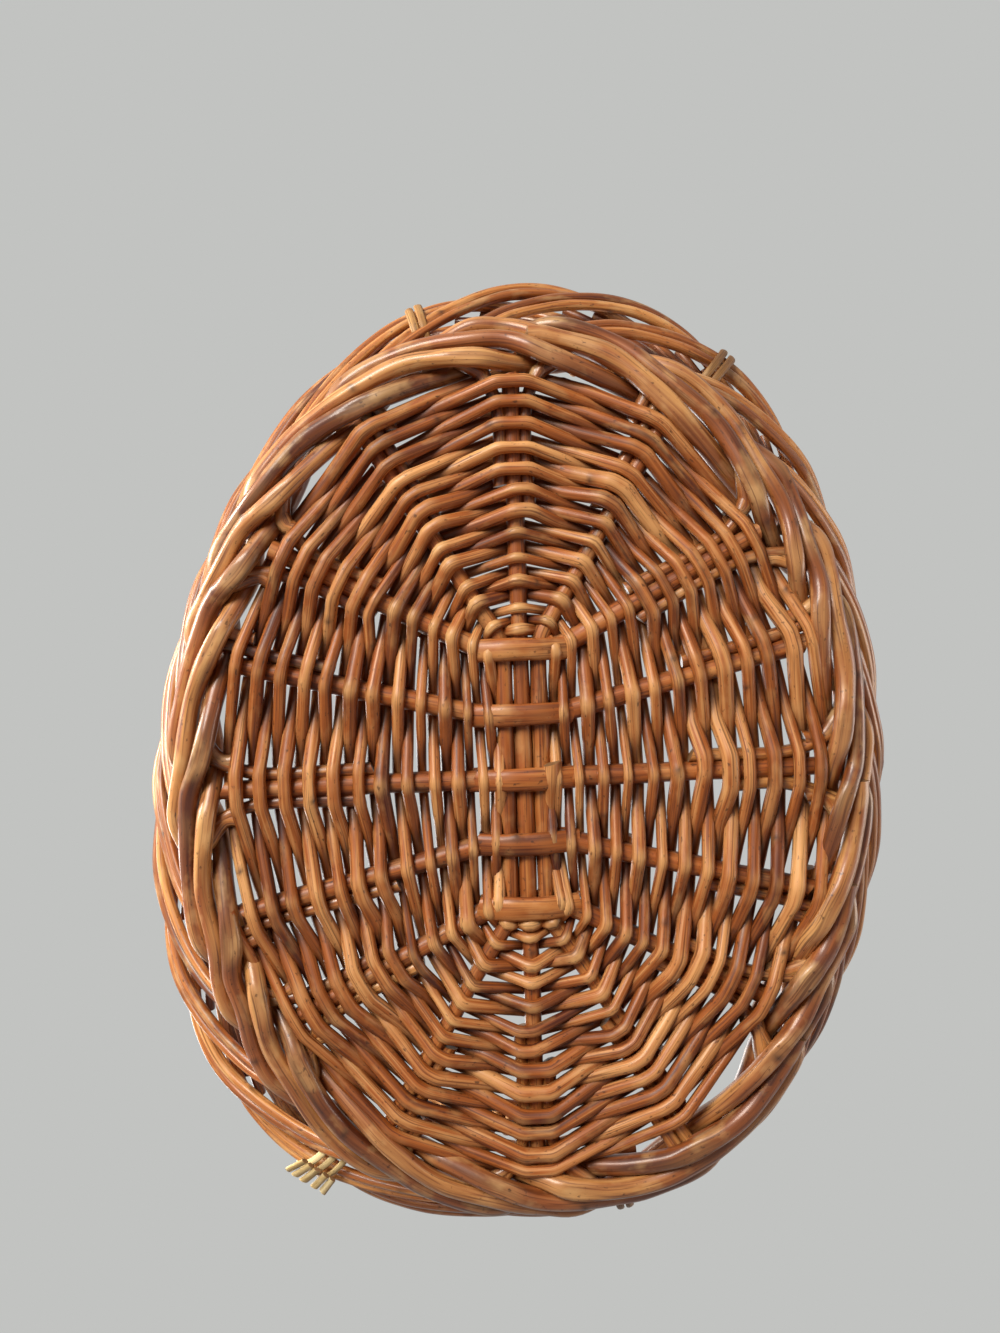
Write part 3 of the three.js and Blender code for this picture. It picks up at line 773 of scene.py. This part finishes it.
def bow_point(start, share):
    point = wall_point(start + handle_span * share, bow_slant, bow_off)
    risen = (share * handle_span - tied_span) / (handle_span - 2 * tied_span)
    risen = min(1.0, max(0.0, min(risen, 1 - risen)) / bow_shoulder)
    point[2] += handle_rise * (1 - math.cos(math.pi * risen)) / 2
    return point


print("top of a handle:", np.round(bow_point(handle_from, 0.5), 1))

# %% Handle bows and the rods wound round them
wrap_butt, wrap_tip = 3.4, 3.0
wrap_reach = bow_thick / 2 + wrap_butt / 2 + 0.2
wrap_from, wrap_share, wrap_turns, turn_steps = 0.28, 0.44, 3, 24
wrap_steps = wrap_turns * turn_steps
for end in (0, 1):
    start = handle_from + 180 * end
    bundle = new_bundle()
    line = [wall_point(start - foot_span, bow_slant, bow_off)]
    line += [bow_point(start, share) for share in np.linspace(0, 1, 25)]
    line += [wall_point(start + handle_span + foot_span, bow_slant, bow_off)]
    grow_rod(bundle, sprung(line), bow_thick * 1.02, bow_thick * 0.96, 14)
    tie_up(bundle, f"handle_bow_{end + 1}_rod", [f"handle_bow_{end + 1}"], buff_wale)
    for strand in (0, 1):
        line = []
        for n in range(wrap_steps + 1):
            share = wrap_from + wrap_share * n / wrap_steps
            along = bow_point(start, share + 0.01) - bow_point(start, share - 0.01)
            along /= np.linalg.norm(along)
            across = np.array([-along[1], along[0], 0.0])
            across /= np.linalg.norm(across)
            turn = 2 * math.pi * (n / turn_steps + strand / 2)
            line.append(bow_point(start, share) + wrap_reach * (
                across * math.cos(turn) + np.cross(along, across) * math.sin(turn)))
        bundle = new_bundle()
        grow_rod(bundle, evenly(line, 1.8), wrap_butt, wrap_tip)
        number = 2 * end + strand + 1
        tie_up(bundle, f"handle_wrap_{number}_rod", [f"handle_wrap_{number}"], buff_weaver)
print("handles: 2, wound with 4 rods")

# %% [markdown]
# The cane of a lashing is split, so it is wider than thick. It goes round border and bow like a strap and
# lies flat, which is why its path is a loop with long legs: raising sine and cosine to a power below one
# pulls a circle out towards a square. On one lashing the cane is fresh, and its cut ends stand up like a
# brush. The other three have aged, and each has a tone of its own; the dark tone of lashing 2 is painted
# shade.

# %% The loop of a lashing
lash_inner = bow_off - bow_thick / 2 - 0.9
lash_outer = 1.2 * stake_pitch + stake_thick / 2 + 1.6
lash_top = border_foot + 1.03 * border_height + stake_thick / 2 - 1.0
lash_bottom = border_foot + 0.25 * border_height
loop_power = 0.72


def squared(value):
    return math.copysign(abs(value) ** loop_power, value)


def lash_point(middle, turn, shift):
    off = (lash_outer + lash_inner) / 2 + (lash_outer - lash_inner) / 2 * squared(math.cos(turn))
    up = (lash_top + lash_bottom) / 2 + (lash_top - lash_bottom) / 2 * squared(math.sin(turn))
    return wall_point(middle + math.degrees(shift / ring_half_width), up, off)


print("a lashing's loop is", round(lash_outer - lash_inner, 1), "by",
      round(lash_top - lash_bottom, 1), "mm")

# %% Lashings
# lashing 2 gets a dark tone as painted shade; the other tones are the canes' own
cane_tones = [0.9, 0.0, 0.2, 0.6]  # of lashings 1 to 4
cane_flat, cane_buds = 0.5, 400  # half as thick as wide, with hardly a bud
fresh_number = 4
brush_shifts = (-5.4, -2.6, 1.0, 3.8, 6.4)  # where the cut ends stand, in millimetres
for number, middle in enumerate((handle_from, handle_to, handle_from + 180, handle_to + 180), start=1):
    fresh = number == fresh_number
    wide, spacing, legs = (2.9, 3.4, 3) if fresh else (3.4, 3.0, 2)
    bundle = new_bundle()
    line = []
    for turn in np.linspace(-0.55 * math.pi, (2 * legs - 1.1) * math.pi, 40 * legs):
        line.append(lash_point(middle, turn, (turn / math.pi / 2 - (legs - 1) / 2) * spacing))
    grow_rod(bundle, evenly(line, 1.2), wide, wide * 0.94, 12, cane_flat, cane_buds,
             tone=cane_tones[number - 1], side=lash_point(middle, math.pi, 0) - line[0])
    for shift in brush_shifts if fresh else ():
        brush = [wall_point(middle + math.degrees((shift * (0.7 + 0.4 * up)) / ring_half_width),
                            lash_bottom + (lash_top - lash_bottom) * up, lash_outer - 0.6 + 7.0 * up)
                 for up in (0.3, 0.5, 0.68)]
        grow_rod(bundle, sprung(brush, 1.5), wide * 1.1, wide * 1.2, 10, cane_flat, cane_buds,
                 side=ring_point(middle, 1, 0) - ring_point(middle, 0, 0))
    tie_up(bundle, f"lashing_{number}_cane", [f"lashing_{number}"],
           straw_cane if fresh else aged_cane)
print("lashings: 4")

# %% [markdown]
# ## Floor, light and background
# The basket stands on a pale floor, but the main camera looks up from under it. So the floor shows only
# its top: a ray from the camera that meets it from below passes through, and so does all light. Glossy
# rays pass too, or the underside would reflect a dark floor in place of the lamps. Away from the basket
# the floor fades into the colour of the background, as in a studio with a curved backdrop.
#
# The light is plain and soft. In the main picture a window-like lamp stands on the left and rakes the
# rods, a larger one under the upper left corner lights the base, and a weak one on the right keeps that
# side from going black. The fourth hangs over the basket, for the views from above.

# %% Floor
floor_half, floor_drop = 4.0, 0.0002  # metres
fade_from, fade_to = 0.28, 0.7  # metres from the middle of the basket
backdrop_grey = linear("#C2C3C1")
floor_corners = [(x * floor_half, y * floor_half, -floor_drop)
                 for x, y in ((-1, -1), (1, -1), (1, 1), (-1, 1))]
floor_mesh = bpy.data.meshes.new("floor")
floor_mesh.from_pydata(floor_corners, [], [(0, 1, 2, 3)])
floor = bpy.data.objects.new("floor", floor_mesh)
bpy.context.scene.collection.objects.link(floor)
pale_floor = bpy.data.materials.new("matt painted board")
pale_floor.use_nodes = True
tree = pale_floor.node_tree
tree.nodes.clear()
ray_kind = node(tree, "ShaderNodeLightPath")
facing = node(tree, "ShaderNodeNewGeometry")
from_above = node(tree, "ShaderNodeMath", {"operation": "SUBTRACT"},
                  {0: ray_kind.outputs["Is Camera Ray"], 1: facing.outputs["Backfacing"]})
board = node(tree, "ShaderNodeBsdfDiffuse", {}, {"Color": linear("#DCDAD5")})
away = node(tree, "ShaderNodeVectorMath", {"operation": "LENGTH"}, {0: facing.outputs["Position"]})
fade = node(tree, "ShaderNodeMapRange", {}, {
    "Value": away.outputs["Value"], "From Min": fade_from, "From Max": fade_to})
haze = node(tree, "ShaderNodeEmission", {}, {"Color": backdrop_grey})
cove = node(tree, "ShaderNodeMixShader", {}, {0: fade.outputs[0], 1: board.outputs[0], 2: haze.outputs[0]})
clear = node(tree, "ShaderNodeBsdfTransparent")
shown = node(tree, "ShaderNodeMixShader", {}, {0: from_above.outputs[0], 1: clear.outputs[0],
                                               2: cove.outputs[0]})
node(tree, "ShaderNodeOutputMaterial", {}, {"Surface": shown.outputs[0]})
floor_mesh.materials.append(pale_floor)
print("floor fades out from", fade_from, "to", fade_to, "m")

# %% Background
world = bpy.data.worlds.new("studio")
bpy.context.scene.world = world
world.use_nodes = True
tree = world.node_tree
tree.nodes.clear()
ray_kind = node(tree, "ShaderNodeLightPath")
seen = ray_kind.outputs["Is Camera Ray"]
for kind in ("Is Transmission Ray", "Is Glossy Ray"):
    seen = node(tree, "ShaderNodeMath", {"operation": "MAXIMUM"},
                {0: seen, 1: ray_kind.outputs[kind]}).outputs[0]
soft = node(tree, "ShaderNodeBackground", {}, {"Color": linear("#EDB286"), "Strength": 0.16})
backdrop = node(tree, "ShaderNodeBackground", {}, {"Color": backdrop_grey, "Strength": 1.0})
mixed = node(tree, "ShaderNodeMixShader", {}, {0: seen, 1: soft.outputs[0], 2: backdrop.outputs[0]})
node(tree, "ShaderNodeOutputWorld", {}, {"Surface": mixed.outputs[0]})
print("background:", world.name)

# %% Lamps
lamp_aim = Vector((0, 0, 0.03))
for name, place, size, watts, tint in (("window_lamp", (-1.1, -0.35, 0.14), 0.5, 21.0, "#FFF6E8"),
                                       ("front_lamp", (-0.64, -0.92, -0.94), 0.7, 28.5, "#FFF9F0"),
                                       ("side_lamp", (1.15, 0.1, 0.02), 0.7, 6.0, "#FFF6EC"),
                                       ("top_lamp", (-0.85, 0.5, 1.5), 1.2, 24.0, "#FFFFFF")):
    lamp = bpy.data.lights.new(name, "AREA")
    lamp.shape, lamp.size, lamp.energy = "DISK", size, watts
    lamp.color = linear(tint)[:3]
    hung = bpy.data.objects.new(name, lamp)
    bpy.context.scene.collection.objects.link(hung)
    hung.location = place
    hung.rotation_euler = (lamp_aim - Vector(place)).to_track_quat("-Z", "Y").to_euler()
bpy.context.scene.view_settings.view_transform = "Standard"
